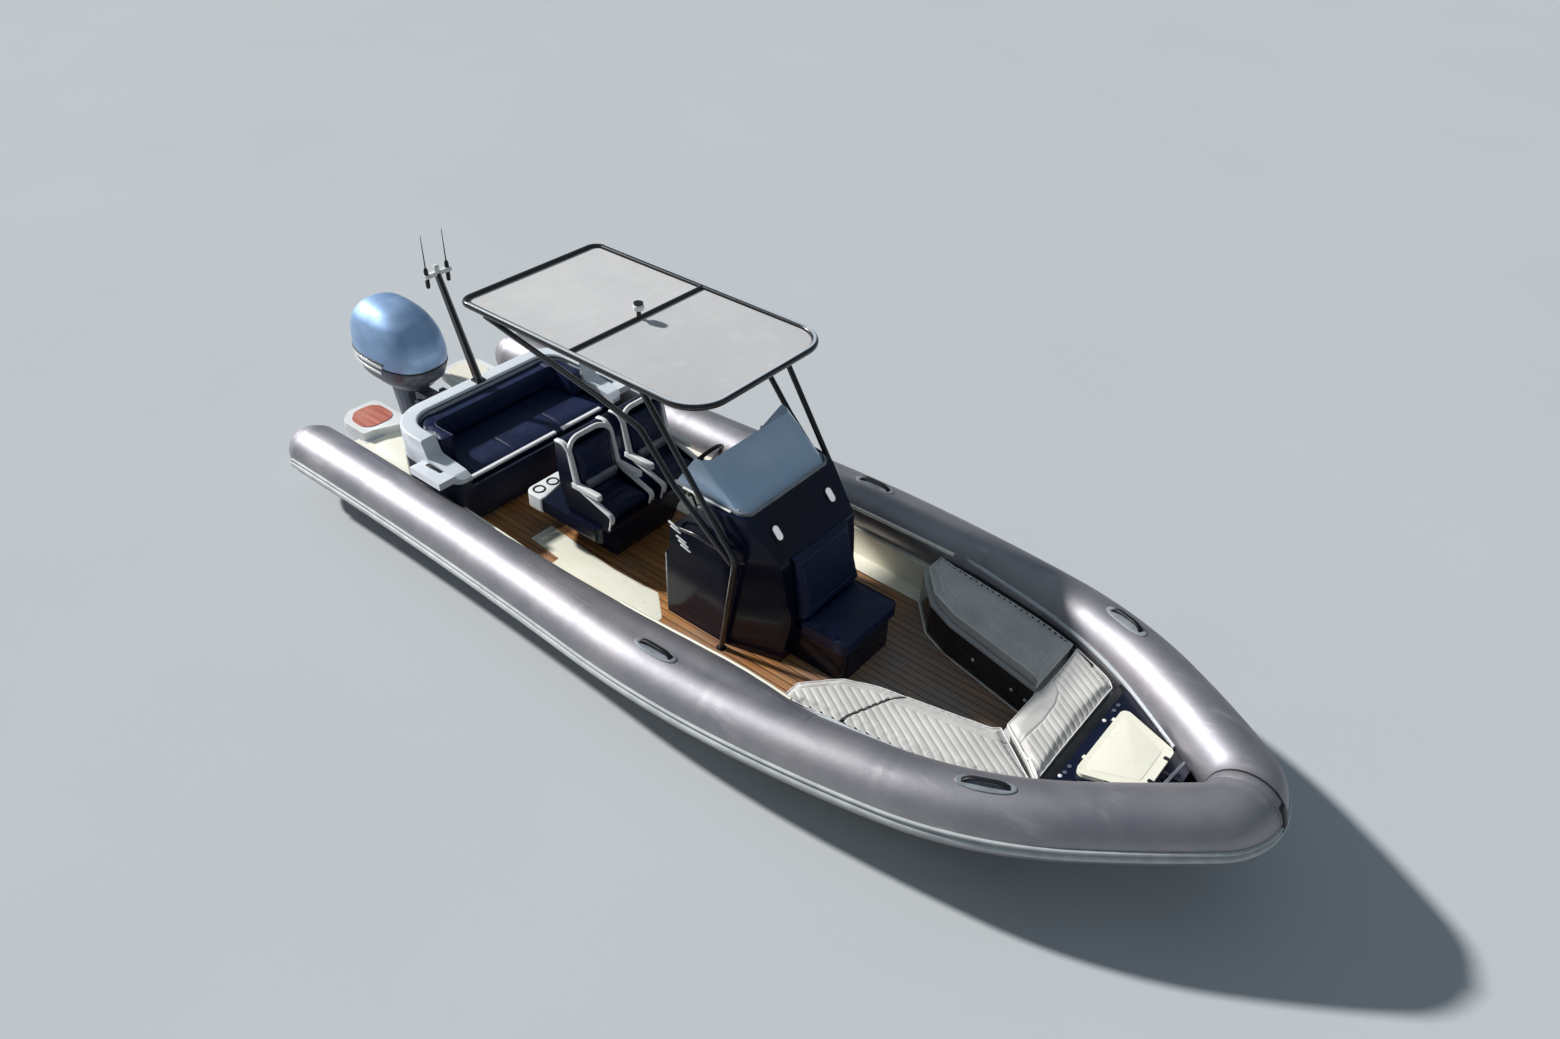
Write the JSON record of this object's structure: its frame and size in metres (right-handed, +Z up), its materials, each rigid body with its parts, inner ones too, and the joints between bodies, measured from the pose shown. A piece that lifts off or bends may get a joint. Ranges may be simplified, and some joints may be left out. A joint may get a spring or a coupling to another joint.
{
  "type": "rigid inflatable boat",
  "caption": "Rigid inflatable boat with deep V hull, T-top, centre console, helm seats, bow cushions and one tilting, steering outboard engine.",
  "frame": {"origin": "on the waterline and the centreline, at the transom's aft face", "axes": "+X towards the bow, +Y towards port, +Z up"},
  "size_m": [8.4893, 2.9704, 2.939],
  "materials": {
    "hull_gelcoat": "smooth gelcoat",
    "deck_teak": "foam deck covering in planks over gelcoat",
    "gelcoat": "smooth gelcoat",
    "cushion_dark": "stitched vinyl over foam",
    "powder_coat": "powder coated tube",
    "tube_fabric": "matt coated fabric",
    "strake_rubber": "matt ribbed rubber",
    "cushion_light": "stitched vinyl over foam",
    "console_dark": "glossy dark moulding",
    "tinted_screen": "tinted acrylic",
    "black_plastic": "moulded",
    "lamp_lens": "clear lens on a white body",
    "canvas": "woven awning cloth",
    "steel": "polished",
    "engine_metal": "painted casting",
    "engine_cover": "painted cover",
    "propeller_steel": "polished"
  },
  "bodies": {
    "boat": {"hull": "hull_gelcoat", "deck_liner": "deck_teak", "aft_deck": "gelcoat", "bench_shell": "gelcoat", "bench_seat": "cushion_dark", "bench_back": "cushion_dark", "mast": "powder_coat", "tube_port": "tube_fabric", "tube_starboard": "tube_fabric", "strake_port": "strake_rubber", "strake_starboard": "strake_rubber", "grab_handles": "strake_rubber", "swim_platform_port": "gelcoat", "swim_platform_starboard": "gelcoat", "platform_pads": "deck_teak", "helm_pod": "gelcoat", "helm_shells": "gelcoat", "helm_cushions": "cushion_light", "console": "console_dark", "front_seat": "cushion_dark", "front_backrest": "cushion_dark", "windscreen": "tinted_screen", "dash_controls": "black_plastic", "docking_lights": "lamp_lens", "ttop_rim": "powder_coat", "ttop_canvas": "canvas", "ttop_frame_port": "powder_coat", "ttop_frame_starboard": "powder_coat", "anchor_lamp": "lamp_lens", "bow_seat_base": "gelcoat", "bow_cushion_port": "cushion_light", "bow_cushion_starboard": "cushion_light", "bow_cushion_forward": "cushion_light", "bow_deck": "gelcoat", "bow_cleat": "steel", "towing_eyes": "steel", "clamp_bracket": "engine_metal"},
    "swivel": {"swivel_bracket": "engine_metal"},
    "outboard": {"cowl": "engine_cover", "cowl_skirt": "engine_cover", "midsection": "engine_metal", "gearcase": "engine_metal"},
    "propeller": {"propeller": "propeller_steel"},
    "wheel": {"steering_wheel": "black_plastic"},
    "lid": {"locker_lid": "gelcoat"}
  },
  "joints": [
    {"name": "engine_tilt", "type": "hinge", "parent": "boat", "child": "swivel", "pos_m": [0.01, 0, 0.478], "axis": [0, 1, 0], "range_deg": [-4, 62]},
    {"name": "engine_steer", "type": "hinge", "parent": "swivel", "child": "outboard", "pos_m": [-0.15, 0, 0.3], "axis": [0, 0, 1], "range_deg": [-30, 30]},
    {"name": "propeller_spin", "type": "hinge", "parent": "outboard", "child": "propeller", "pos_m": [-0.64, 0, -0.45], "axis": [1, 0, 0], "continuous": true},
    {"name": "wheel_turn", "type": "hinge", "parent": "boat", "child": "wheel", "pos_m": [3.23504, 0, 1.23962], "axis": [-0.866, 0, 0.5], "range_deg": [-900, 900]},
    {"name": "lid_open", "type": "hinge", "parent": "boat", "child": "lid", "pos_m": [6.47972, 0, 0.662], "axis": [0, -1, 0], "range_deg": [0, 95]}
  ],
  "couplings": [
    {"joint": "wheel_turn", "follows": "engine_steer", "ratio": -30}
  ]
}
